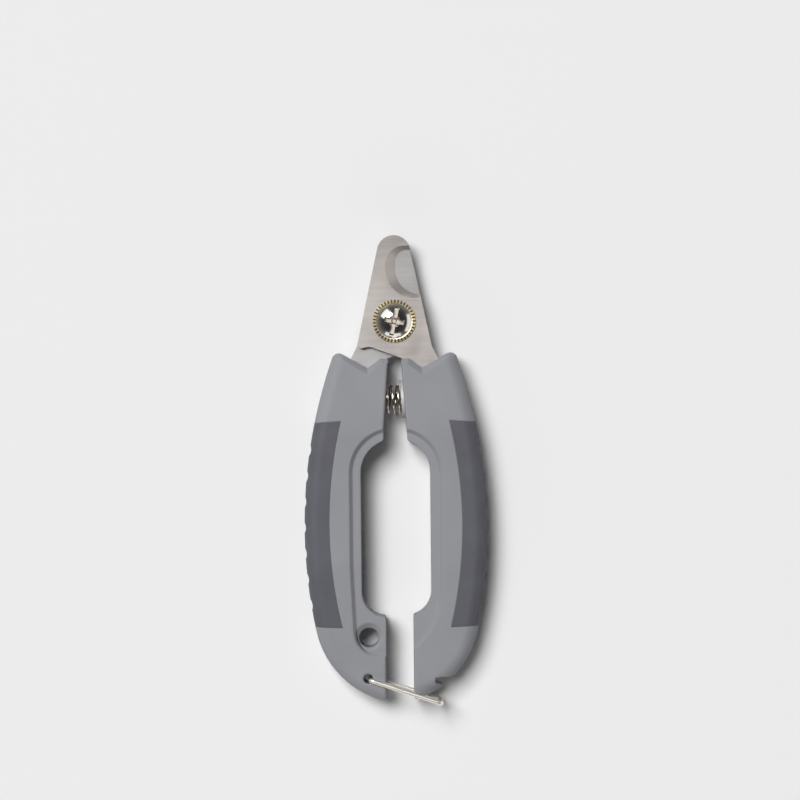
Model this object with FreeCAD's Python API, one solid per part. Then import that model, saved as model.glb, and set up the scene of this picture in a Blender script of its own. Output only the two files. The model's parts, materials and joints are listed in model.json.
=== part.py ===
import FreeCAD, Part
import math
import os

# Scissor nail clipper for large dogs: two crossed steel blades on a pivot screw, two moulded
# handles with soft grips, a return spring between the handles and a wire lock at their ends.
#
# Everything is drawn about the pivot: x across the handles, y from the handles to the blade tip,
# z from the back of the clipper to its front.  The last step moves it onto its frame, whose
# origin is under the middle of the clipper, on the surface that it lies on.

os.makedirs("parts", exist_ok=True)
vec = FreeCAD.Vector
X_AXIS = vec(1, 0, 0)
Y_AXIS = vec(0, 1, 0)
Z_AXIS = vec(0, 0, 1)
ORIGIN = vec(0, 0, 0)

# ---- driving dimensions, mm -----------------------------------------------------------------

# Blades
BLADE_T = 2.1                 # thickness of one blade
SHEAR_GAP = 0.02              # each blade's distance from the shear plane, z = 0
TIP_R = 5.6
TIP_Y = 23.1                  # centre of the rounded tip
BLADE_TAPER = 12.2            # degrees, each side
HEEL_Y = -7.9
PIVOT_R = 3.0                 # screw shank
PIVOT_FIT = 0.04              # radial running clearance in the front blade
NOTCH_EDGE_X = 0.3            # how far the cutting edge stops short of the middle line
NOTCH_TOP_Y = 24.0
NOTCH_TOP_R = 4.2
NOTCH_LOW_Y = 17.8            # centre height of the lower arc
NOTCH_LOW_R = 9.0
BEVEL_SIDE = 3.0              # width of the ground bevel beside the notch
BEVEL_END = 1.2               # width of the bevel above and below the notch
BEVEL_SKEW = 0.2              # how much lower the bevel's lower arc sits, per mm of its width
NOTCH_BEYOND_X = 16.0         # past the blade's side, where the notch is open
EDGE_LAND = 0.12              # metal left at the cutting edge

# Pivot screw, washers and nut
SCREW_HEAD_R = 5.8
SCREW_DOME_H = 2.3
SCREW_RIM_H = 0.5
SLOT_W = 1.5
SLOT_DEPTH = 1.5
CROSS_LEN = 6.6
CROSS_EXTRA = 0.4             # how much deeper the cross slot is
RECESS_R = (0.6, 2.3)         # tapered middle of the cross, at its bottom and top
RECESS_EXTRA = 1.0
SLOT_TURN = -12.0             # degrees from the y axis
SHANK_CHAMFER = 0.4
SEAT_T = 0.6                  # thickness of the cup washer under the screw head
CUP_WASHER_R = 7.2
CUP_WASHER_H = 1.35
CUP_WASHER_RIM = 0.45
CUP_WASHER_CREST = 0.35       # from the screw head to the washer's highest ring
CUP_WASHER_FLUTES = 37
FLUTE_DEPTH = 0.85            # below the top of the rim
FLUTE_SPREAD = 0.66           # half width gained per mm above the flute's root
FLUTE_TOP = 1.2               # of the flute's tool, over the washer's base
STACK_GAP = 0.03              # between a fixed washer and the turning front blade
WASHER_FIT = 0.1              # radial
REAR_WASHER_R = 6.0
REAR_WASHER_T = 0.8
NUT_FLATS = 10.0
NUT_T = 2.8
NUT_CROWN = (-1.0, 1.4, 2.4)  # rounding of its corners: radii from the corner's, and height

# Handle outline, right-hand side
OUTER_C = (-138.5, -68.5)     # centre of the long outer arc
OUTER_R = 169.0
END_C = (-3.3, -96.8)         # centre of the arc round the lower end
END_R = OUTER_R - math.dist(OUTER_C, END_C)   # so that the two arcs run into each other
VALLEY = (9.1, -15.65)        # bottom of the V that the blade leaves the handle by
LEG_SLOPE = 29.7              # degrees, from the valley to the shoulder
SHOULDER_R = 2.3
PLATEAU = ((2.15, -12.75), (4.7, -12.45))
INNER_TOP = (2.15, -13.6)     # top of the face along the spring gap
OPEN_TOP = (0.5, -50.4)       # centre of the arc at the top of the finger opening
OPEN_BOTTOM_Y = -90.1
OPEN_X = 11.6
OPEN_BOTTOM_R = 8.3
OPEN_CORNER_X = 4.05
LEFT_END_X = 3.6              # inner face of the left handle's lower end
RIGHT_END_X = 5.5             # and of the right one's

# Handle thickness: half of it, and how it tapers towards both ends
HALF_MID = 7.5
END_TAPER_Y = -81.5
END_TAPER = 0.0445            # fall per mm of length
TOP_TAPER_Y = -38.0
TOP_TAPER = 0.042
OUTER_ROUND = 4.5
INNER_ROUND = 0.8
V_START_Z = 4.6               # where the sloping walls of the V begin
V_INSET = 1.7                 # how far they lean back at the face

# Recessed panel round the finger opening, on both faces
PANEL_DEPTH = 1.2
PANEL_R = 15.0
PANEL_RIGHT_C = (-10.0, -91.2)
PANEL_LEFT_R = 9.2
PANEL_LEFT_Y = -103.8

# Soft grips, moulded over the handles' cores
GRIP_TOP_Y = -33.2
GRIP_BOTTOM_Y = -101.9
GRIP_END_X = 18.0             # inner corners of the grip
GRIP_MID_X = 22.1             # inner edge at its middle
GRIP_OUT_X = 34.0             # past the outside of the handle
GRIP_TOP_FALL = 1.1           # of the grip's upper end, from its inner corner to there
GRIP_BOTTOM_RISE = 0.6        # of its lower end
GRIP_T = 1.7
GROOVE_FIRST_Y = -42.9
GROOVE_PITCH = 8.55
GROOVE_COUNT = 7
GROOVE_R = 3.6
GROOVE_DEPTH = 0.5

# Holes and lock
HANG_HOLE = (-9.33, -105.3)
HANG_HOLE_R = 3.25
HANG_DISH_R = 4.7
HANG_DISH_DEPTH = 1.0
LOCK_HOLE = (-9.7, -118.95)
LOCK_HOLE_R = 1.55
LOCK_HOLE_RIM = 0.35          # chamfer at both faces, which the wire's bend dips into
LOCK_AXIS = (-9.05, -119.3)
WIRE_R = 0.75
WIRE_BEND = 1.3
WIRE_END_GAP = 1.0            # between the wire's two ends, inside the left handle
WIRE_GAP = 0.15               # between the wire's legs and the handles' faces
LOCK_REACH = 24.8             # from the hinge to the cross wire
LOCK_DROP = 18.5              # degrees that the wire hangs below the notch at rest
NOTCH_ROOF_Y = -118.6
NOTCH_FLOOR_X = 12.6
LIP_Y = -120.65
LIP_X = 14.75
LIP_FALL = 0.45               # of the lip's upper face
NOTCH_ROUND = 0.6

# Spring and its seats
SPRING_Y = -26.0
SPRING_R = 4.4                # to the wire's centre
SPRING_WIRE_R = 0.5
SPRING_LEFT_X = -11.2         # the ends of the coil, on the floors of its two seats
SPRING_RIGHT_X = 9.15
SPRING_PITCH = 1.9
SEAT_R = 5.4
SEAT_LEFT_DEPTH = 8.2
CUP_WALL = 0.5
CUP_DEPTH = 6.6
CUP_FLANGE_R = 6.25
CUP_FLANGE_T = 1.0
CUP_FLANGE_ROUND = 0.4

# Tang, the part of a blade inside its handle
NECK_Y = -8.2                 # where the blade's right side turns into the tang
HEEL = [(3.2, -12.7), (-8.2, -8.45), (-11.4, -9.1)]
HEEL_ROUND = 3.0
CORNER_ROUND = 0.9
TANG = [(9.6, -17.2), (11.6, -20.5), (12.8, -45.0), (17.2, -45.0), (17.8, -19.5), (15.2, -13.6)]
TANG_HOLE_R = 1.6
TANG_HOLES = [(14.9, -25.0), (15.0, -38.0)]

# Frame: where the pivot lies
PIVOT_HEIGHT = HALF_MID
PIVOT_Y = 49.62


# ---- helpers --------------------------------------------------------------------------------

def at(point, z=0.0):
    return vec(point[0], point[1], z)


def line(a, b):
    return Part.makeLine(a, b)


def arc(a, middle, b):
    return Part.Arc(a, middle, b).toShape()


def on_circle(centre, radius, degrees):
    angle = math.radians(degrees)
    return (centre[0] + radius * math.cos(angle), centre[1] + radius * math.sin(angle))


def turn_of(centre, point):
    return math.degrees(math.atan2(point[1] - centre[1], point[0] - centre[0]))


def arc_about(centre, radius, start, end, z=0.0):
    """Arc of a circle in the xy plane, between two angles in degrees."""
    mid = 0.5 * (start + end)
    a, m, b = (at(on_circle(centre, radius, d), z) for d in (start, mid, end))
    return arc(a, m, b)


def polyline(points, z=0.0):
    return [line(at(a, z), at(b, z)) for a, b in zip(points, points[1:])]


def prism(edges, bottom, top):
    """Closed outline drawn at z = 0, extruded between two heights."""
    face = Part.Face(Part.Wire(edges))
    face.translate(vec(0, 0, bottom))
    return face.extrude(vec(0, 0, top - bottom))


def cylinder(radius, bottom, top, centre=(0.0, 0.0)):
    return Part.makeCylinder(radius, top - bottom, at(centre, bottom), Z_AXIS)


def cone(radius_low, radius_high, bottom, top, centre=(0.0, 0.0)):
    return Part.makeCone(radius_low, radius_high, top - bottom, at(centre, bottom), Z_AXIS)


def middle_of(edge):
    return edge.valueAt(0.5 * (edge.FirstParameter + edge.LastParameter))


def upright_near(shape, x, y):
    """The upright edges of a shape that stand at (x, y)."""
    found = []
    for edge in shape.Edges:
        box = edge.BoundBox
        if box.ZLength > 1.0 and box.XLength < 0.01 and box.YLength < 0.01:
            if math.hypot(box.Center.x - x, box.Center.y - y) < 0.05:
                found.append(edge)
    return found


def round_uprights(shape, corners, radius):
    edges = [edge for corner in corners for edge in upright_near(shape, *corner)]
    return shape.makeFillet(radius, edges)


def turned(shape, axis, degrees, centre=ORIGIN):
    copy = shape.copy()
    copy.rotate(centre, axis, degrees)
    return copy


def mirrored(shape):
    """The shape seen in a mirror across the middle plane x = 0."""
    return shape.mirror(ORIGIN, X_AXIS)


def both_faces(tool):
    """A tool for the front face, and the same for the back."""
    return [tool, tool.mirror(ORIGIN, Z_AXIS)]


def offset_open(points, distance):
    """An open polyline moved sideways, to its right, with mitred corners."""
    moved = []
    for a, b in zip(points, points[1:]):
        length = math.hypot(b[0] - a[0], b[1] - a[1])
        nx = (b[1] - a[1]) / length * distance
        ny = -(b[0] - a[0]) / length * distance
        moved.append(((a[0] + nx, a[1] + ny), (b[0] + nx, b[1] + ny)))
    result = [moved[0][0]]
    for (a, b), (c, d) in zip(moved, moved[1:]):
        cross = (b[0] - a[0]) * (d[1] - c[1]) - (b[1] - a[1]) * (d[0] - c[0])
        t = ((c[0] - a[0]) * (d[1] - c[1]) - (c[1] - a[1]) * (d[0] - c[0])) / cross
        result.append((a[0] + t * (b[0] - a[0]), a[1] + t * (b[1] - a[1])))
    result.append(moved[-1][1])
    return result


# ---- blades ---------------------------------------------------------------------------------

def blade_side_x(y):
    """Half width of the blade on its straight sides."""
    taper = math.radians(BLADE_TAPER)
    return (TIP_R - (y - TIP_Y) * math.sin(taper)) / math.cos(taper)


def notch_wire(side, end, z):
    """Outline of the cutting notch, widened by side beside it and by end above and below it."""
    left = NOTCH_EDGE_X - side
    top = NOTCH_TOP_Y + end
    bottom = NOTCH_LOW_Y - NOTCH_LOW_R - end
    top_r = NOTCH_TOP_R + 0.5 * (side + end)
    top_c = (left + top_r, top - top_r)
    low_y = NOTCH_LOW_Y - BEVEL_SKEW * side
    low_r = low_y - bottom
    low_c = (left + low_r, low_y)
    edges = [
        line(at((NOTCH_BEYOND_X, top), z), at((top_c[0], top), z)),
        arc_about(top_c, top_r, 90, 180, z),
        line(at((left, top_c[1]), z), at((left, low_y), z)),
        arc_about(low_c, low_r, 180, 270, z),
        line(at((low_c[0], bottom), z), at((NOTCH_BEYOND_X, bottom), z)),
        line(at((NOTCH_BEYOND_X, bottom), z), at((NOTCH_BEYOND_X, top), z)),
    ]
    return Part.Wire(edges)


def front_blade_solid():
    taper = BLADE_TAPER
    left_start = (-blade_side_x(HEEL_Y), HEEL_Y)
    left_tip = on_circle((0, TIP_Y), TIP_R, 180 - taper)
    right_tip = on_circle((0, TIP_Y), TIP_R, taper)
    neck = (blade_side_x(NECK_Y), NECK_Y)
    outline = [line(at(left_start), at(left_tip))]
    outline.append(arc(at(left_tip), vec(0, TIP_Y + TIP_R, 0), at(right_tip)))
    outline += polyline([right_tip, neck] + TANG[::-1] + HEEL + [left_start])
    plate = prism(outline, SHEAR_GAP, BLADE_T)
    plate = round_uprights(plate, [left_start, HEEL[2]], CORNER_ROUND)
    plate = round_uprights(plate, [HEEL[1]], HEEL_ROUND)

    bevel = Part.makeLoft([notch_wire(0, 0, EDGE_LAND), notch_wire(BEVEL_SIDE, BEVEL_END, BLADE_T)],
                          True, True)
    notch = Part.Face(notch_wire(0, 0, -1)).extrude(vec(0, 0, BLADE_T + 2))
    cuts = [bevel, notch, cylinder(PIVOT_R + PIVOT_FIT, -1, BLADE_T + 1)]
    cuts += [cylinder(TANG_HOLE_R, -1, BLADE_T + 1, hole) for hole in TANG_HOLES]
    return plate.cut(cuts)


def back_blade_solid(front):
    """The same blade turned over, held fast on the screw."""
    blade = turned(front, Y_AXIS, 180)
    collar = cylinder(PIVOT_R + 1, -BLADE_T, -SHEAR_GAP).cut(cylinder(PIVOT_R, -BLADE_T - 1, 1))
    return blade.fuse(collar).removeSplitter()


# ---- pivot screw, washers and nut -----------------------------------------------------------

def washer_base():
    return BLADE_T + STACK_GAP


def head_base():
    return washer_base() + SEAT_T


def pivot_screw_solid():
    base = head_base()
    dome_base = base + SCREW_RIM_H
    sphere_r = (SCREW_HEAD_R ** 2 + SCREW_DOME_H ** 2) / (2 * SCREW_DOME_H)
    sphere = Part.makeSphere(sphere_r, vec(0, 0, dome_base + SCREW_DOME_H - sphere_r))
    head = cylinder(SCREW_HEAD_R, base, dome_base + SCREW_DOME_H).common(sphere)
    head = head.fuse(cylinder(SCREW_HEAD_R, base, dome_base))
    end = -BLADE_T - REAR_WASHER_T - NUT_T - SHANK_CHAMFER
    shank = cylinder(PIVOT_R, end, base + 0.1)
    rim = [edge for edge in shank.Edges if edge.BoundBox.ZMax < end + 0.01]
    shank = shank.makeChamfer(SHANK_CHAMFER, rim)
    top = dome_base + SCREW_DOME_H
    floor = top - SLOT_DEPTH
    slot = Part.makeBox(SLOT_W, 2 * SCREW_HEAD_R + 2, 4, vec(-SLOT_W / 2, -SCREW_HEAD_R - 1, floor))
    cross = Part.makeBox(CROSS_LEN, SLOT_W, 4, vec(-CROSS_LEN / 2, -SLOT_W / 2, floor - CROSS_EXTRA))
    recess = cone(RECESS_R[0], RECESS_R[1], floor - RECESS_EXTRA, top + 0.2)
    drive = slot.fuse([cross, recess])
    drive.rotate(ORIGIN, Z_AXIS, SLOT_TURN)
    head = head.cut(drive)
    return head.fuse(shank).removeSplitter()


def serrated_washer_solid():
    base = washer_base()
    seat = head_base()
    bore = PIVOT_R + WASHER_FIT
    pocket = SCREW_HEAD_R + STACK_GAP
    crest = SCREW_HEAD_R + CUP_WASHER_CREST
    points = [(bore, base), (CUP_WASHER_R, base), (CUP_WASHER_R, base + CUP_WASHER_RIM),
              (crest, base + CUP_WASHER_H), (pocket, base + CUP_WASHER_H - 0.1),
              (pocket, seat), (bore, seat), (bore, base)]
    profile = Part.Face(Part.makePolygon([vec(r, 0, z) for r, z in points]))
    ring = profile.revolve(ORIGIN, Z_AXIS, 360)
    outside = CUP_WASHER_R + 0.6
    root = vec(outside, 0, base + CUP_WASHER_RIM - FLUTE_DEPTH)
    half = FLUTE_SPREAD * (base + FLUTE_TOP - root.z)
    left = vec(outside, -half, base + FLUTE_TOP)
    right = vec(outside, half, base + FLUTE_TOP)
    run = vec(crest - 0.1 - outside, 0, CUP_WASHER_H - CUP_WASHER_RIM + 0.45)
    flute = Part.Face(Part.makePolygon([left, right, root, left])).extrude(run)
    step = 360.0 / CUP_WASHER_FLUTES
    flutes = [turned(flute, Z_AXIS, step * i) for i in range(CUP_WASHER_FLUTES)]
    return ring.cut(flutes)


def rear_washer_solid():
    top = -BLADE_T
    ring = cylinder(REAR_WASHER_R, top - REAR_WASHER_T, top)
    return ring.cut(cylinder(PIVOT_R + WASHER_FIT, top - REAR_WASHER_T - 1, top + 1))


def pivot_nut_solid():
    top = -BLADE_T - REAR_WASHER_T
    corner_r = NUT_FLATS / math.sqrt(3)
    corners = [on_circle((0, 0), corner_r, 60 * i) for i in range(7)]
    hexagon = prism(polyline(corners), top - NUT_T, top)
    low_r, high_r, height = corner_r + NUT_CROWN[0], corner_r + NUT_CROWN[1], NUT_CROWN[2]
    crown = cone(low_r, high_r, top - NUT_T, top - NUT_T + height)
    crown = crown.fuse(cylinder(high_r, top - NUT_T + height, top))
    return hexagon.common(crown).cut(cylinder(PIVOT_R, top - NUT_T - 1, top + 1))


# ---- handles --------------------------------------------------------------------------------

def shoulder_corner():
    """Where the V's outer leg meets the long outer arc."""
    c = math.cos(math.radians(LEG_SLOPE))
    s = math.sin(math.radians(LEG_SLOPE))
    dx = VALLEY[0] - OUTER_C[0]
    dy = VALLEY[1] - OUTER_C[1]
    b = dx * c + dy * s
    t = -b + math.sqrt(b * b - dx * dx - dy * dy + OUTER_R ** 2)
    return (VALLEY[0] + t * c, VALLEY[1] + t * s)


def opening_corner():
    radius = OPEN_X - OPEN_TOP[0]
    return (OPEN_CORNER_X, OPEN_TOP[1] + math.sqrt(radius ** 2 - (OPEN_CORNER_X - OPEN_TOP[0]) ** 2))


def opening_foot(end_x):
    centre_x = OPEN_X - OPEN_BOTTOM_R
    return (end_x, OPEN_BOTTOM_Y - math.sqrt(OPEN_BOTTOM_R ** 2 - (end_x - centre_x) ** 2))


def end_corner(end_x):
    return (end_x, END_C[1] - math.sqrt(END_R ** 2 - (end_x - END_C[0]) ** 2))


def handle_outline(end_x):
    shoulder = shoulder_corner()
    joint = turn_of(OUTER_C, END_C)
    radius = OPEN_X - OPEN_TOP[0]
    foot_c = (OPEN_X - OPEN_BOTTOM_R, OPEN_BOTTOM_Y)
    edges = polyline([INNER_TOP, PLATEAU[0], PLATEAU[1], VALLEY, shoulder])
    edges.append(arc_about(OUTER_C, OUTER_R, turn_of(OUTER_C, shoulder), joint))
    edges.append(arc_about(END_C, END_R, joint, turn_of(END_C, end_corner(end_x))))
    edges += polyline([end_corner(end_x), opening_foot(end_x)])
    edges.append(arc_about(foot_c, OPEN_BOTTOM_R, turn_of(foot_c, opening_foot(end_x)), 0))
    edges += polyline([(OPEN_X, OPEN_BOTTOM_Y), (OPEN_X, OPEN_TOP[1])])
    edges.append(arc_about(OPEN_TOP, radius, 0, turn_of(OPEN_TOP, opening_corner())))
    edges += polyline([opening_corner(), INNER_TOP])
    return edges


def half_thickness(y):
    if y < END_TAPER_Y:
        return HALF_MID - END_TAPER * (END_TAPER_Y - y)
    return HALF_MID - TOP_TAPER * max(0.0, y - TOP_TAPER_Y)


def thickness_profile(inset=0.0):
    """Side view of the handle as a solid right across it, made thinner by inset on each face."""
    stations = [-135.0, END_TAPER_Y, TOP_TAPER_Y, -4.0]
    front = [vec(-10, y, half_thickness(y) - inset) for y in stations]
    back = [vec(p.x, p.y, -p.z) for p in reversed(front)]
    outline = Part.makePolygon(front + back + front[:1])
    return Part.Face(outline).extrude(vec(60, 0, 0))


def outer_edges(body):
    """Front and back edges along the outside of the handle."""
    found = []
    for edge in body.Edges:
        p = middle_of(edge)
        if abs(p.z) < 3 or edge.BoundBox.YLength < 0.3:
            continue
        on_long = abs(math.hypot(p.x - OUTER_C[0], p.y - OUTER_C[1]) - OUTER_R) < 0.02
        on_end = abs(math.hypot(p.x - END_C[0], p.y - END_C[1]) - END_R) < 0.02
        if (on_long and p.x > 15) or (on_end and p.y < -100):
            found.append(edge)
    return found


def inner_edges(body):
    """Front and back edges round the finger opening and up the spring gap."""
    found = []
    for edge in body.Edges:
        p = middle_of(edge)
        if abs(p.z) < 3:
            continue
        in_gap = p.x < 7.2 and -126.0 < p.y < -13.0
        in_opening = p.x < OPEN_X + 0.01 and -99.0 < p.y < -39.0
        if in_gap or in_opening:
            found.append(edge)
    return found


def shoulder_edges(body):
    """Edges down the corner between the V's outer leg and the outside of the handle."""
    shoulder = shoulder_corner()
    c = math.cos(math.radians(LEG_SLOPE))
    s = math.sin(math.radians(LEG_SLOPE))
    found = []
    for edge in body.Edges:
        p = middle_of(edge)
        off_leg = (p.x - VALLEY[0]) * s - (p.y - VALLEY[1]) * c
        near = math.hypot(p.x - shoulder[0], p.y - shoulder[1]) < 5.5
        along_face = edge.BoundBox.ZLength < 0.4
        if abs(off_leg) < 0.02 and near and not along_face:
            found.append(edge)
    return found


def handle_blank(end_x):
    """Rounded body of a right-hand handle, before its V, panel, holes and grip."""
    blank = prism(handle_outline(end_x), -9, 9).common(thickness_profile())
    blank = blank.makeFillet(OUTER_ROUND, outer_edges(blank))
    blank = blank.makeFillet(SHOULDER_R, shoulder_edges(blank))
    blank = round_uprights(blank, [opening_corner(), opening_foot(end_x)], CORNER_ROUND)
    return blank.makeFillet(INNER_ROUND, inner_edges(blank))


def v_slopes():
    """Tools that lean the walls of the V back, from its outline at V_START_Z to the faces."""
    shoulder = shoulder_corner()
    far = (shoulder[0] + 8 * math.cos(math.radians(LEG_SLOPE)),
           shoulder[1] + 8 * math.sin(math.radians(LEG_SLOPE)))
    rise = (PLATEAU[1][1] - PLATEAU[0][1]) / (PLATEAU[1][0] - PLATEAU[0][0])
    near = (PLATEAU[0][0] - 6, PLATEAU[0][1] - 6 * rise)
    low_line = [near, PLATEAU[1], VALLEY, far]
    top_z = HALF_MID + 1.5
    lean = V_INSET * (top_z - V_START_Z) / (half_thickness(VALLEY[1]) - V_START_Z)
    high_line = offset_open(low_line, lean)

    def closed(points, z):
        return Part.Wire(polyline([(points[0][0], 4)] + points + [(points[-1][0], 4), (points[0][0], 4)], z))

    tool = Part.makeLoft([closed(low_line, V_START_Z), closed(high_line, top_z)], True, True)
    return both_faces(tool)


def panel_tool(left, inset, z):
    """Outline of the recessed panel at one height, inset from its outer edge."""
    radius = PANEL_R - inset
    side = OPEN_TOP[0] + radius
    start = (-1.0, OPEN_TOP[1] + radius)
    top = (OPEN_TOP[0], OPEN_TOP[1] + radius)
    edges = [line(at(start, z), at(top, z)), arc_about(OPEN_TOP, radius, 90, 0, z)]
    if left:
        low_r = PANEL_LEFT_R - inset
        low_c = (side - low_r, PANEL_LEFT_Y)
        edges.append(line(at((side, OPEN_TOP[1]), z), at((side, PANEL_LEFT_Y), z)))
        edges.append(arc_about(low_c, low_r, 0, -90, z))
        last = (-1.0, PANEL_LEFT_Y - low_r)
        edges.append(line(at((low_c[0], last[1]), z), at(last, z)))
    else:
        low_r = side - PANEL_RIGHT_C[0]
        end = -math.degrees(math.acos((3.0 - PANEL_RIGHT_C[0]) / low_r))
        foot = on_circle(PANEL_RIGHT_C, low_r, end)
        edges.append(line(at((side, OPEN_TOP[1]), z), at((side, PANEL_RIGHT_C[1]), z)))
        edges.append(arc_about(PANEL_RIGHT_C, low_r, 0, end, z))
        last = (-1.0, foot[1])
        edges.append(line(at(foot, z), at(last, z)))
    edges.append(line(at(last, z), at(start, z)))
    return Part.Wire(edges)


def panel_recess(left):
    low_z = 3.0
    high_z = 9.0
    walls = Part.makeLoft([panel_tool(left, HALF_MID - low_z, low_z),
                           panel_tool(left, HALF_MID - high_z, high_z)], True, True)
    return walls.cut(thickness_profile(PANEL_DEPTH))


def grip_zone():
    """Everything outside the grip's inner edge, between its two ends."""
    top = (GRIP_END_X, GRIP_TOP_Y)
    mid = (GRIP_MID_X, 0.5 * (GRIP_TOP_Y + GRIP_BOTTOM_Y))
    bottom = (GRIP_END_X, GRIP_BOTTOM_Y)
    out_top = (GRIP_OUT_X, GRIP_TOP_Y - GRIP_TOP_FALL)
    out_bottom = (GRIP_OUT_X, GRIP_BOTTOM_Y + GRIP_BOTTOM_RISE)
    edges = [arc(at(top), at(mid), at(bottom))]
    edges += polyline([bottom, out_bottom, out_top, top])
    return prism(edges, -9, 9)


def grip_core():
    """The part of the handle that the grip is moulded over."""
    radius = OUTER_R - GRIP_T
    half = HALF_MID - GRIP_T + 0.1
    disc = cylinder(radius, -half, half, OUTER_C)
    return disc.makeFillet(OUTER_ROUND - GRIP_T, [disc.Edges[0], disc.Edges[2]])


def grip_grooves():
    """Shallow upright grooves down the outside of the grip."""
    grooves = []
    for i in range(GROOVE_COUNT):
        y = GROOVE_FIRST_Y - i * GROOVE_PITCH
        angle = math.degrees(math.asin((y - OUTER_C[1]) / OUTER_R))
        centre = on_circle(OUTER_C, OUTER_R + GROOVE_R - GROOVE_DEPTH, angle)
        grooves.append(cylinder(GROOVE_R, -9, 9, centre))
    return grooves


def split_grip(blank):
    """Handle with the grip's bed cut away, and the grip that fills it."""
    shell = grip_zone().cut(grip_core())
    grip = blank.common(shell)
    grip = grip.cut(grip_grooves())
    return blank.cut(shell), grip


def lock_notch():
    """Notch for the cross wire in the outer edge of the right handle's end."""
    outside = NOTCH_FLOOR_X + 12
    below = LIP_Y - 6
    points = [(outside, NOTCH_ROOF_Y), (NOTCH_FLOOR_X, NOTCH_ROOF_Y), (NOTCH_FLOOR_X, LIP_Y),
              (LIP_X, LIP_Y - LIP_FALL), (LIP_X, below), (outside, below), (outside, NOTCH_ROOF_Y)]
    tool = prism(polyline(points), -9, 9)
    return round_uprights(tool, [points[1], points[2]], NOTCH_ROUND)


def hang_hole():
    floor_z = half_thickness(HANG_HOLE[1]) - PANEL_DEPTH
    over = END_TAPER * HANG_DISH_R
    spread = over * (HANG_DISH_R - HANG_HOLE_R) / HANG_DISH_DEPTH
    dish = cone(HANG_HOLE_R, HANG_DISH_R + spread, floor_z - HANG_DISH_DEPTH, floor_z + over, HANG_HOLE)
    return [cylinder(HANG_HOLE_R, -10, 10, HANG_HOLE)] + both_faces(dish)


def lock_hole():
    """Hole for the lock wire's ends, with a chamfered rim on both faces."""
    face = half_thickness(LOCK_HOLE[1])
    low = face - LOCK_HOLE_RIM
    rim = cone(LOCK_HOLE_R, LOCK_HOLE_R + 3 * LOCK_HOLE_RIM, low, low + 3 * LOCK_HOLE_RIM, LOCK_HOLE)
    return [cylinder(LOCK_HOLE_R, -10, 10, LOCK_HOLE)] + both_faces(rim)


def gap_face_x(y):
    """Distance of a handle's inner face from the middle, in the spring gap."""
    low = opening_corner()
    return INNER_TOP[0] + (low[0] - INNER_TOP[0]) * (y - INNER_TOP[1]) / (low[1] - INNER_TOP[1])


def gap_lean():
    low = opening_corner()
    return math.degrees(math.atan2(low[0] - INNER_TOP[0], INNER_TOP[1] - low[1]))


def left_parts(blade):
    blank = handle_blank(LEFT_END_X)
    body, grip = split_grip(blank)
    body = body.cut(v_slopes() + both_faces(panel_recess(True)))
    body = mirrored(body)
    grip = mirrored(grip)
    seat = Part.makeCylinder(SEAT_R, SEAT_LEFT_DEPTH + 1, vec(-gap_face_x(SPRING_Y) + 1, SPRING_Y, 0),
                             vec(-1, 0, 0))
    return body.cut(hang_hole() + lock_hole() + [seat, blade]), grip


def spring_cup_solid():
    """Flanged metal cup in the right handle that takes the end of the spring."""
    outer_r = SEAT_R + CUP_WALL
    barrel = Part.makeCylinder(outer_r, CUP_DEPTH + CUP_WALL, ORIGIN, X_AXIS)
    flange = Part.makeCylinder(CUP_FLANGE_R, CUP_FLANGE_T, vec(-CUP_FLANGE_T, 0, 0), X_AXIS)
    rim = [edge for edge in flange.Edges if edge.BoundBox.XMax < -CUP_FLANGE_T + 0.01]
    flange = flange.makeFillet(CUP_FLANGE_ROUND, rim)
    bore = Part.makeCylinder(SEAT_R, CUP_DEPTH + CUP_FLANGE_T + 1, vec(-CUP_FLANGE_T - 1, 0, 0), X_AXIS)
    cup = barrel.fuse(flange).removeSplitter().cut(bore)
    cup.rotate(ORIGIN, Z_AXIS, gap_lean())
    cup.translate(vec(gap_face_x(SPRING_Y), SPRING_Y, 0))
    return cup


def cup_bed():
    bed = Part.makeCylinder(SEAT_R + CUP_WALL, CUP_DEPTH + CUP_WALL + 1, vec(-1, 0, 0), X_AXIS)
    bed.rotate(ORIGIN, Z_AXIS, gap_lean())
    bed.translate(vec(gap_face_x(SPRING_Y), SPRING_Y, 0))
    return bed


def right_parts(blade):
    blank = handle_blank(RIGHT_END_X)
    body, grip = split_grip(blank)
    body = body.cut(v_slopes() + both_faces(panel_recess(False)) + [lock_notch(), cup_bed(), blade])
    return body, grip


# ---- spring and lock ------------------------------------------------------------------------

def spring_solid():
    length = SPRING_RIGHT_X - SPRING_LEFT_X
    helix = Part.makeHelix(SPRING_PITCH, length - 2 * SPRING_WIRE_R, SPRING_R)
    section = Part.Wire(Part.makeCircle(SPRING_WIRE_R, vec(SPRING_R, 0, 0), Y_AXIS))
    coil = Part.Wire(helix.Edges).makePipeShell([section], True, True)
    coil.rotate(ORIGIN, Y_AXIS, 90)
    coil.translate(vec(SPRING_LEFT_X + SPRING_WIRE_R, SPRING_Y, 0))
    return coil


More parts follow.
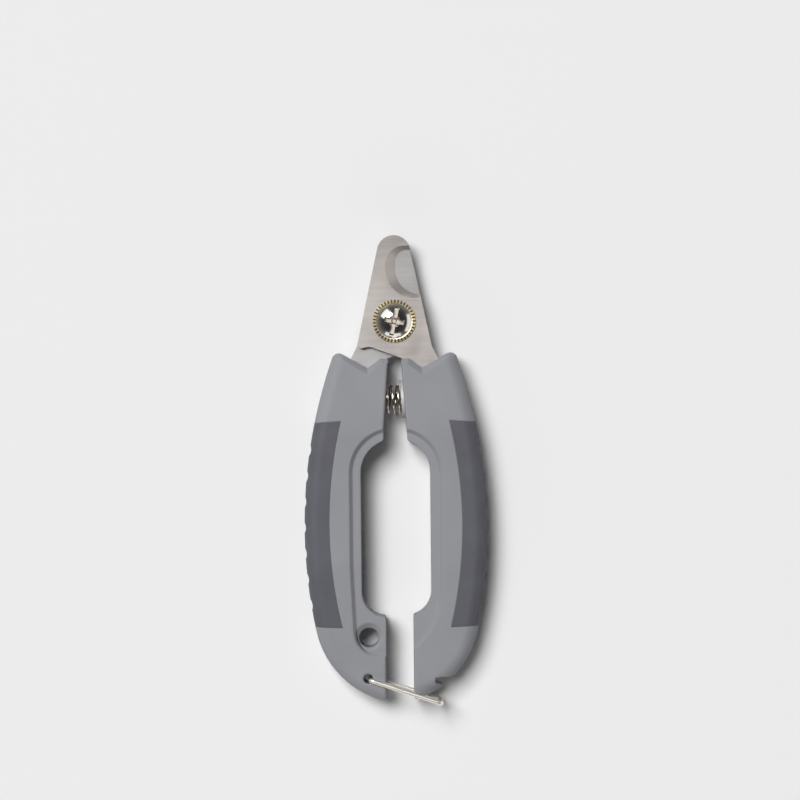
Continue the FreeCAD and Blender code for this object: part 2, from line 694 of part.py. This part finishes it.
def lock_wire_solid():
    """Wire staple hooked into the left handle, with its cross wire towards the notch."""
    leg_z = half_thickness(NOTCH_ROOF_Y) + WIRE_GAP + WIRE_R
    end_z = 0.5 * WIRE_END_GAP
    corners = [vec(0, 0, end_z), vec(0, 0, leg_z), vec(LOCK_REACH, 0, leg_z),
               vec(LOCK_REACH, 0, -leg_z), vec(0, 0, -leg_z), vec(0, 0, -end_z)]
    edges = []
    start = corners[0]
    for before, corner, after in zip(corners, corners[1:], corners[2:]):
        back = (before - corner).normalize()
        onward = (after - corner).normalize()
        bend_in = corner + back * WIRE_BEND
        bend_out = corner + onward * WIRE_BEND
        centre = corner + (back + onward) * WIRE_BEND
        middle = centre + (corner - centre).normalize() * WIRE_BEND
        edges.append(line(start, bend_in))
        edges.append(arc(bend_in, middle, bend_out))
        start = bend_out
    edges.append(line(start, corners[-1]))
    section = Part.Wire(Part.makeCircle(WIRE_R, corners[0], Z_AXIS))
    wire = Part.Wire(edges).makePipeShell([section], True, False)
    wire.rotate(ORIGIN, Z_AXIS, -LOCK_DROP)
    wire.translate(at(LOCK_AXIS))
    return wire


# ---- assembly -------------------------------------------------------------------------------

def build():
    front_blade = front_blade_solid()
    back_blade = back_blade_solid(front_blade)
    left_handle, left_grip = left_parts(back_blade)
    right_handle, right_grip = right_parts(front_blade)
    return {
        "front_blade": front_blade,
        "back_blade": back_blade,
        "pivot_screw": pivot_screw_solid(),
        "serrated_washer": serrated_washer_solid(),
        "rear_washer": rear_washer_solid(),
        "pivot_nut": pivot_nut_solid(),
        "left_handle": left_handle,
        "left_grip": left_grip,
        "right_handle": right_handle,
        "right_grip": right_grip,
        "spring": spring_solid(),
        "spring_cup": spring_cup_solid(),
        "lock_wire": lock_wire_solid(),
    }


for name, shape in build().items():
    shape.translate(vec(0, PIVOT_Y, PIVOT_HEIGHT))
    print(name, len(shape.Solids), shape.isValid(), round(shape.Volume, 1))
    shape.exportStep("parts/%s.step" % name)
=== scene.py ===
"""Scissor nail clipper for large dogs, lying on its back under soft studio light.

Every size is in metres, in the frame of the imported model: +Y towards the blade tip, +X towards
the right-hand handle, +Z from the surface that the clipper lies on towards its front.
"""

import json
import math

import bpy
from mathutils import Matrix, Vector


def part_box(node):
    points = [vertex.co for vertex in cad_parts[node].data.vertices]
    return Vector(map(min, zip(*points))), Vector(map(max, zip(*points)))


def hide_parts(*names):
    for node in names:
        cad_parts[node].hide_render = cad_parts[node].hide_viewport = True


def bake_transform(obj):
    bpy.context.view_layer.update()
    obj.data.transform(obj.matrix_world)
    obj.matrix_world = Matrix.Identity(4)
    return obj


MM = 0.001

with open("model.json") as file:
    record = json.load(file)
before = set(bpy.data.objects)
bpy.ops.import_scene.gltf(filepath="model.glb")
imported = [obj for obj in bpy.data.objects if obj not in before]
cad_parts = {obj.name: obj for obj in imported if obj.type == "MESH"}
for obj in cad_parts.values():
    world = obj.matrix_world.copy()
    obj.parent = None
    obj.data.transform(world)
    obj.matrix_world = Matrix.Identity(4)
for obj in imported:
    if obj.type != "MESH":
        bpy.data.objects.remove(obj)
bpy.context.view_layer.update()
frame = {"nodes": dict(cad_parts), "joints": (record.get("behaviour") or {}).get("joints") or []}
joints = {joint["name"]: joint for joint in frame["joints"]}
pivot = Vector(joints["jaw_pivot"]["pos_m"])


# ---- camera -----------------------------------------------------------------------------------

CAMERA_DISTANCE = 0.9             # above the middle of the clipper's thickness
VIEW_WIDTH = 267.5 * MM           # what the picture spans there
VIEW_X = 1.7 * MM                 # the point that the camera looks straight down at
VIEW_Y = 23.3 * MM
VIEW_TURN = -0.545                # degrees about the vertical
SENSOR = 36.0


def make_camera():
    data = bpy.data.cameras.new("camera")
    data.sensor_width = SENSOR
    data.lens = SENSOR * CAMERA_DISTANCE / VIEW_WIDTH
    camera = bpy.data.objects.new("camera", data)
    camera.location = (VIEW_X, VIEW_Y, pivot.z + CAMERA_DISTANCE)
    camera.rotation_euler = (0, 0, math.radians(VIEW_TURN))
    bpy.context.scene.collection.objects.link(camera)
    bpy.context.scene.camera = camera


# ---- shader helpers ---------------------------------------------------------------------------

NOISE_SPAN = (0.3, 0.7)           # that most values of a noise lie in
EDGE_SAMPLES = 4
CREVICE_SAMPLES = 8


def feed(tree, socket, value):
    """Gives a socket a value, a colour of three numbers, or the socket that feeds it."""
    if isinstance(value, bpy.types.NodeSocket):
        tree.links.new(value, socket)
    elif isinstance(value, tuple) and len(value) == 3 and socket.type == "RGBA":
        socket.default_value = (*value, 1)
    else:
        socket.default_value = value


def add(tree, kind, inputs=None, **settings):
    """A new shader node. An input is a value, or the socket that feeds it."""
    node = tree.nodes.new(kind)
    for key, value in settings.items():
        setattr(node, key, value)
    for key, value in (inputs or {}).items():
        feed(tree, node.inputs[key], value)
    return node


def maths(tree, operation, *values, clamp=False):
    inputs = dict(enumerate(values))
    return add(tree, "ShaderNodeMath", inputs, operation=operation, use_clamp=clamp).outputs[0]


def millimetres(tree, stretch=(1, 1, 1)):
    """Place on the piece, in millimetres, with each axis stretched."""
    place = add(tree, "ShaderNodeTexCoord").outputs["Object"]
    scale = [1000 * share for share in stretch]
    return add(tree, "ShaderNodeMapping", {"Vector": place, "Scale": scale}).outputs[0]


def noise(tree, stretch, detail=3.0, rough=0.55):
    """Noise with about this many patches per millimetre, on every axis or on each of three."""
    if not isinstance(stretch, tuple):
        stretch = (stretch, stretch, stretch)
    inputs = {"Vector": millimetres(tree, stretch), "Scale": 1.0, "Detail": detail,
              "Roughness": rough}
    return add(tree, "ShaderNodeTexNoise", inputs).outputs[0]


def ranged(tree, value, source, target):
    """Maps one range of values onto another, and stays within it."""
    inputs = {"Value": value, "From Min": source[0], "From Max": source[1],
              "To Min": target[0], "To Max": target[1]}
    return add(tree, "ShaderNodeMapRange", inputs).outputs[0]


def spread(tree, value, low, high):
    """A noise value turned into low to high."""
    return ranged(tree, value, NOISE_SPAN, (low, high))


def tinted(tree, share, dark, light):
    """Mixes two colours."""
    node = add(tree, "ShaderNodeMix", data_type="RGBA")
    factor, a, b = (socket for socket in node.inputs if socket.enabled)
    feed(tree, factor, share)
    feed(tree, a, dark)
    feed(tree, b, light)
    return next(socket for socket in node.outputs if socket.enabled)


def soft_edges(tree, radius):
    """Normal that rounds the piece's sharp edges over."""
    return add(tree, "ShaderNodeBevel", {"Radius": radius}, samples=EDGE_SAMPLES).outputs[0]


def openness(tree, reach):
    """1 in the open, and less in a crevice narrower than the reach."""
    return add(tree, "ShaderNodeAmbientOcclusion", {"Distance": reach},
               samples=CREVICE_SAMPLES).outputs["AO"]


def bump(tree, height, distance, strength, normal):
    inputs = {"Height": height, "Distance": distance, "Strength": strength, "Normal": normal}
    return add(tree, "ShaderNodeBump", inputs).outputs[0]


def material(name):
    made = bpy.data.materials.new(name)
    made.use_nodes = True
    made.node_tree.nodes.clear()
    return made


def surface(tree, **inputs):
    named = {key.replace("_", " "): value for key, value in inputs.items()}
    shader = add(tree, "ShaderNodeBsdfPrincipled", named)
    add(tree, "ShaderNodeOutputMaterial", {"Surface": shader.outputs[0]})


# ---- materials --------------------------------------------------------------------------------

DOME_R = 8.463 * MM               # of the screw's domed head
SLOT_SKIN = 0.08 * MM             # depth under the dome at which its slot turns rough
PARTING_HALF = 0.14               # mm, half the width of the handles' parting line
BEVEL_UPRIGHT = 0.97              # a blade's face that leans more than this is its ground bevel
BLADE_FADE_Y = (50.0, 76.0)       # mm, from the pivot to the tip
BLADE_FADE = (1.08, 0.74)         # painted light: brightness at those two places, lighter near the pivot and darker at the tip
FLUTE_OPENNESS = (0.55, 0.95)     # AO values of the washer's brass, from full painted shade to no painted shade

PLASTIC = ((0.258, 0.261, 0.280), (0.280, 0.283, 0.303))
RUBBER = ((0.088, 0.089, 0.106), (0.103, 0.104, 0.123))
FRONT_STEEL = ((0.40, 0.368, 0.349), (0.455, 0.42, 0.40))
# the back blade's steel, painted darker and cooler as painted shade
BACK_STEEL_SHADED = ((0.35, 0.338, 0.337), (0.40, 0.388, 0.388))
GROUND_STEEL = (0.80, 0.75, 0.725)
CHROME = (0.74, 0.71, 0.68)
# painted shade colour for the slot's corners, then the slot's own rough steel colour
SLOT_SHADE_AND_COLOUR = ((0.20, 0.14, 0.08), (0.60, 0.56, 0.51))
# painted shade colour deep in the flutes, then the bright brass
BRASS_SHADE_AND_COLOUR = ((0.10, 0.065, 0.03), (1.0, 0.88, 0.60))
CUP_ZINC = ((0.50, 0.49, 0.50), (0.56, 0.55, 0.56))


def handle_plastic():
    """Light grey moulding with a fine satin texture and a parting line along its middle."""
    made = material("handle_plastic")
    tree = made.node_tree
    clouds = noise(tree, 0.06, detail=2.0)
    colour = tinted(tree, spread(tree, clouds, 0.0, 1.0), *PLASTIC)
    grain = noise(tree, 5.5, detail=2.0)
    normal = bump(tree, grain, distance=0.02 * MM, strength=0.5,
                  normal=soft_edges(tree, 0.7 * MM))
    place = add(tree, "ShaderNodeSeparateXYZ", {0: millimetres(tree)}).outputs["Z"]
    off_middle = maths(tree, "ABSOLUTE", maths(tree, "SUBTRACT", place, pivot.z / MM))
    slope = maths(tree, "DIVIDE", off_middle, PARTING_HALF)
    ridge = maths(tree, "SUBTRACT", 1.0, slope, clamp=True)
    normal = bump(tree, ridge, distance=0.05 * MM, strength=0.8, normal=normal)
    rough = spread(tree, noise(tree, 0.25), 0.58, 0.68)
    surface(tree, Base_Color=colour, Roughness=rough, IOR=1.42, Normal=normal)
    return made


def grip_rubber():
    """Dark soft plastic, matte, with a fine eroded texture."""
    made = material("grip_rubber")
    tree = made.node_tree
    colour = tinted(tree, spread(tree, noise(tree, 0.12), 0.0, 1.0), *RUBBER)
    normal = bump(tree, noise(tree, 4.0), distance=0.05 * MM, strength=0.55,
                  normal=soft_edges(tree, 0.3 * MM))
    surface(tree, Base_Color=colour, Roughness=0.62, IOR=1.42, Normal=normal)
    return made


def blade_steel(name, dark, light):
    """Stainless steel, brushed across the blade, with a paler bevel ground round the notch and
    painted light that darkens towards the tip.
    """
    made = material(name)
    tree = made.node_tree
    lines = noise(tree, (0.12, 7.0, 7.0), detail=4.0, rough=0.6)
    streaks = noise(tree, (0.05, 0.9, 0.9))
    smears = noise(tree, (0.10, 0.07, 0.10), detail=2.0)
    flat = tinted(tree, spread(tree, streaks, 0.0, 1.0), dark, light)
    facing = add(tree, "ShaderNodeNewGeometry").outputs["True Normal"]
    facing = add(tree, "ShaderNodeSeparateXYZ", {0: facing}).outputs["Z"]
    ground = maths(tree, "LESS_THAN", maths(tree, "ABSOLUTE", facing), BEVEL_UPRIGHT)
    colour = tinted(tree, ground, flat, GROUND_STEEL)
    # painted light: the colour is scaled brighter near the pivot and darker towards the tip
    along = add(tree, "ShaderNodeSeparateXYZ", {0: millimetres(tree)}).outputs["Y"]
    fade = ranged(tree, along, BLADE_FADE_Y, BLADE_FADE)
    colour = add(tree, "ShaderNodeVectorMath", {0: colour, "Scale": fade},
                 operation="SCALE").outputs[0]
    polish = maths(tree, "ADD", spread(tree, smears, 0.31, 0.39), spread(tree, lines, -0.04, 0.04))
    rough = maths(tree, "MULTIPLY_ADD", ground, 0.1, polish)
    normal = bump(tree, lines, distance=0.015 * MM, strength=0.35,
                  normal=soft_edges(tree, 0.15 * MM))
    across = add(tree, "ShaderNodeVectorTransform", {0: (1, 0, 0)}, vector_type="VECTOR",
                 convert_from="OBJECT", convert_to="WORLD").outputs[0]
    surface(tree, Base_Color=colour, Metallic=1.0, Roughness=rough, Anisotropic=0.3,
            Tangent=across, Normal=normal)
    return made


def screw_chrome():
    """Polished dome, with a rough drive slot that has painted shade in its corners."""
    made = material("screw_chrome")
    tree = made.node_tree
    centre = (pivot.x, pivot.y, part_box("pivot_screw")[1].z - DOME_R)
    place = add(tree, "ShaderNodeTexCoord").outputs["Object"]
    away = add(tree, "ShaderNodeVectorMath", {0: place, 1: centre},
               operation="DISTANCE").outputs["Value"]
    slot = maths(tree, "LESS_THAN", away, DOME_R - SLOT_SKIN)
    # painted shade: the slot's colour darkens where the AO finds its corners
    shaded_slot = tinted(tree, openness(tree, 1.5 * MM), *SLOT_SHADE_AND_COLOUR)
    colour = tinted(tree, slot, CHROME, shaded_slot)
    polish = spread(tree, noise(tree, 0.5), 0.10, 0.16)
    rough = maths(tree, "MULTIPLY_ADD", slot, 0.36, polish)
    surface(tree, Base_Color=colour, Metallic=1.0, Roughness=rough,
            Normal=soft_edges(tree, 0.12 * MM))
    return made


def plain_metal(name, colour, roughness, wear=0.03):
    """Even metal with slightly uneven polish."""
    made = material(name)
    tree = made.node_tree
    rough = spread(tree, noise(tree, 0.5), roughness - wear, roughness + wear)
    surface(tree, Base_Color=colour, Metallic=1.0, Roughness=rough)
    return made


def washer_brass():
    """Bright brass, with painted shade deep in its flutes."""
    made = material("washer_brass")
    tree = made.node_tree
    # painted shade: the brass darkens deep in the flutes, where the AO finds crevices
    unshaded = ranged(tree, openness(tree, 0.6 * MM), FLUTE_OPENNESS, (0.0, 1.0))
    surface(tree, Base_Color=tinted(tree, unshaded, *BRASS_SHADE_AND_COLOUR), Metallic=1.0, Roughness=0.44,
            Normal=soft_edges(tree, 0.06 * MM))
    return made


def dull_zinc():
    """Matte pale grey plating on the spring cup."""
    made = material("dull_zinc")
    tree = made.node_tree
    colour = tinted(tree, spread(tree, noise(tree, 0.8), 0.0, 1.0), *CUP_ZINC)
    surface(tree, Base_Color=colour, Metallic=0.25, Roughness=0.5,
            Normal=soft_edges(tree, 0.1 * MM))
    return made


# ---- return spring ----------------------------------------------------------------------------

SPRING_WIRE = 0.5 * MM            # radius
SPRING_TURNS = 11.0
SPRING_START = 0.55               # turns from its highest point in y
DEAD_TURNS = 1.0                  # closed turns at each end
DEAD_PITCH = 2.1 * SPRING_WIRE    # so that closed turns almost touch
STEPS_PER_TURN = 40
WIRE_SIDES = 12


def spring_line(low, high):
    """Centre points of a coil that fills a box along x, with its end turns closed."""
    centre = (low + high) / 2
    radius = (high.z - low.z) / 2 - SPRING_WIRE
    span = high.x - low.x - 2 * SPRING_WIRE
    live_pitch = (span - 2 * DEAD_TURNS * DEAD_PITCH) / (SPRING_TURNS - 2 * DEAD_TURNS)
    points = []
    x = low.x + SPRING_WIRE
    steps = round(SPRING_TURNS * STEPS_PER_TURN)
    for i in range(steps + 1):
        turn = i / STEPS_PER_TURN
        angle = 2 * math.pi * (turn + SPRING_START)
        points.append(Vector((x, centre.y + radius * math.cos(angle),
                              centre.z + radius * math.sin(angle))))
        dead = turn < DEAD_TURNS or turn >= SPRING_TURNS - DEAD_TURNS
        x += (DEAD_PITCH if dead else live_pitch) / STEPS_PER_TURN
    return points


def tube(name, points, radius, sides):
    """Closed round tube along a line of points."""
    verts, faces = [], []
    for i, point in enumerate(points):
        along = points[min(i + 1, len(points) - 1)] - points[max(i - 1, 0)]
        across = along.cross(Vector((1, 0, 0))).normalized()
        over = along.cross(across).normalized()
        for k in range(sides):
            angle = 2 * math.pi * k / sides
            verts.append(point + radius * (math.cos(angle) * across + math.sin(angle) * over))
    for i in range(len(points) - 1):
        for k in range(sides):
            a, b = i * sides + k, i * sides + (k + 1) % sides
            faces.append((a, b, b + sides, a + sides))
    faces.append(tuple(range(sides - 1, -1, -1)))
    last = (len(points) - 1) * sides
    faces.append(tuple(range(last, last + sides)))
    mesh = bpy.data.meshes.new(name)
    mesh.from_pydata(verts, [], faces)
    mesh.update()
    mesh.polygons.foreach_set("use_smooth", [len(face.vertices) == 4 for face in mesh.polygons])
    piece = bpy.data.objects.new(name, mesh)
    bpy.context.scene.collection.objects.link(piece)
    return piece


def make_spring(metal):
    """Coil that reaches from one handle to the other."""
    low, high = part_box("spring")
    piece = tube("return_spring", spring_line(low, high), SPRING_WIRE, WIRE_SIDES)
    piece.data.materials.append(metal)
    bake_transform(piece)
    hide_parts("spring")


# ---- studio -----------------------------------------------------------------------------------

FLOOR_R = 4.0
CARD_DISTANCE = 2.0
CEILING_GLOW = 0.03               # of the world straight overhead
WALL_GLOW = 0.3                   # added to it at the horizon
WALL_FALL = 3.0                   # how fast that fades upwards


def make_floor():
    bpy.ops.mesh.primitive_circle_add(vertices=96, radius=FLOOR_R, fill_type="NGON")
    floor = bpy.context.object
    floor.name = "floor"
    made = material("floor")
    surface(made.node_tree, Base_Color=(0.86, 0.86, 0.86), Roughness=0.9, IOR=1.2)
    floor.data.materials.append(made)


def softbox(name, toward, distance, width, height, power, colour=(1, 1, 1)):
    """Area light that shines on the clipper from a direction."""
    data = bpy.data.lights.new(name, "AREA")
    data.shape = "RECTANGLE"
    data.size = width
    data.size_y = height
    data.energy = power
    data.color = colour
    light = bpy.data.objects.new(name, data)
    direction = Vector(toward).normalized()
    light.location = direction * distance + Vector((0, VIEW_Y, 0))
    light.rotation_euler = direction.to_track_quat("Z", "Y").to_euler()
    bpy.context.scene.collection.objects.link(light)
    return light


def reflector(name, toward, width, height, power, colour=(1, 1, 1)):
    """Softbox that only shows in shiny surfaces."""
    light = softbox(name, toward, CARD_DISTANCE, width, height, power, colour)
    light.visible_diffuse = False


def make_world():
    """Dark overhead, with pale walls round the horizon."""
    world = bpy.data.worlds.new("studio")
    world.use_nodes = True
    tree = world.node_tree
    tree.nodes.clear()
    direction = add(tree, "ShaderNodeTexCoord").outputs["Generated"]
    height = add(tree, "ShaderNodeSeparateXYZ", {0: direction}).outputs["Z"]
    low = maths(tree, "POWER", maths(tree, "SUBTRACT", 1.0, height, clamp=True), WALL_FALL)
    glow = maths(tree, "MULTIPLY_ADD", low, WALL_GLOW, CEILING_GLOW)
    back = add(tree, "ShaderNodeBackground", {"Color": (1, 1, 1), "Strength": glow})
    add(tree, "ShaderNodeOutputWorld", {"Surface": back.outputs[0]})
    bpy.context.scene.world = world


def make_studio():
    make_floor()
    make_world()
    softbox("key", toward=(-0.36, 0.41, 1.0), distance=14.0, width=7.0, height=7.0,
            power=2070.0)
    reflector("left_card", toward=(-1.0, 0.9, 0.95), width=1.4, height=1.0, power=5.3)
    reflector("right_card", toward=(1.0, -0.1, 0.3), width=2.6, height=0.85, power=6.2,
              colour=(1.0, 0.97, 0.92))
    softbox("fill", toward=(-0.1, -1.0, 0.4), distance=2.0, width=2.4, height=0.8, power=6.0,
            colour=(1.0, 0.98, 0.95))


# ---- assembly ---------------------------------------------------------------------------------

make_camera()
bpy.context.scene.view_settings.view_transform = "Standard"

plastic = handle_plastic()
rubber = grip_rubber()
front_steel = blade_steel("front_blade_steel", *FRONT_STEEL)
# the back blade's material is a painted-shade copy of the front blade's steel
shaded_back_steel = blade_steel("back_blade_shaded_steel", *BACK_STEEL_SHADED)
chrome = screw_chrome()
brass = washer_brass()
zinc = plain_metal("zinc_steel", (0.72, 0.71, 0.70), roughness=0.36)
wire = plain_metal("wire_steel", (0.94, 0.89, 0.82), roughness=0.38)
coil = plain_metal("spring_steel", (0.80, 0.74, 0.67), roughness=0.15)
cup = dull_zinc()

finishes = {
    "front_blade": front_steel,
    "back_blade": shaded_back_steel,
    "pivot_screw": chrome,
    "serrated_washer": brass,
    "rear_washer": zinc,
    "pivot_nut": zinc,
    "left_handle": plastic,
    "left_grip": rubber,
    "right_handle": plastic,
    "right_grip": rubber,
    "spring": coil,
    "spring_cup": cup,
    "lock_wire": wire,
}
for node, finish in finishes.items():
    mesh = frame["nodes"][node].data
    mesh.materials.clear()
    mesh.materials.append(finish)

make_spring(coil)
make_studio()
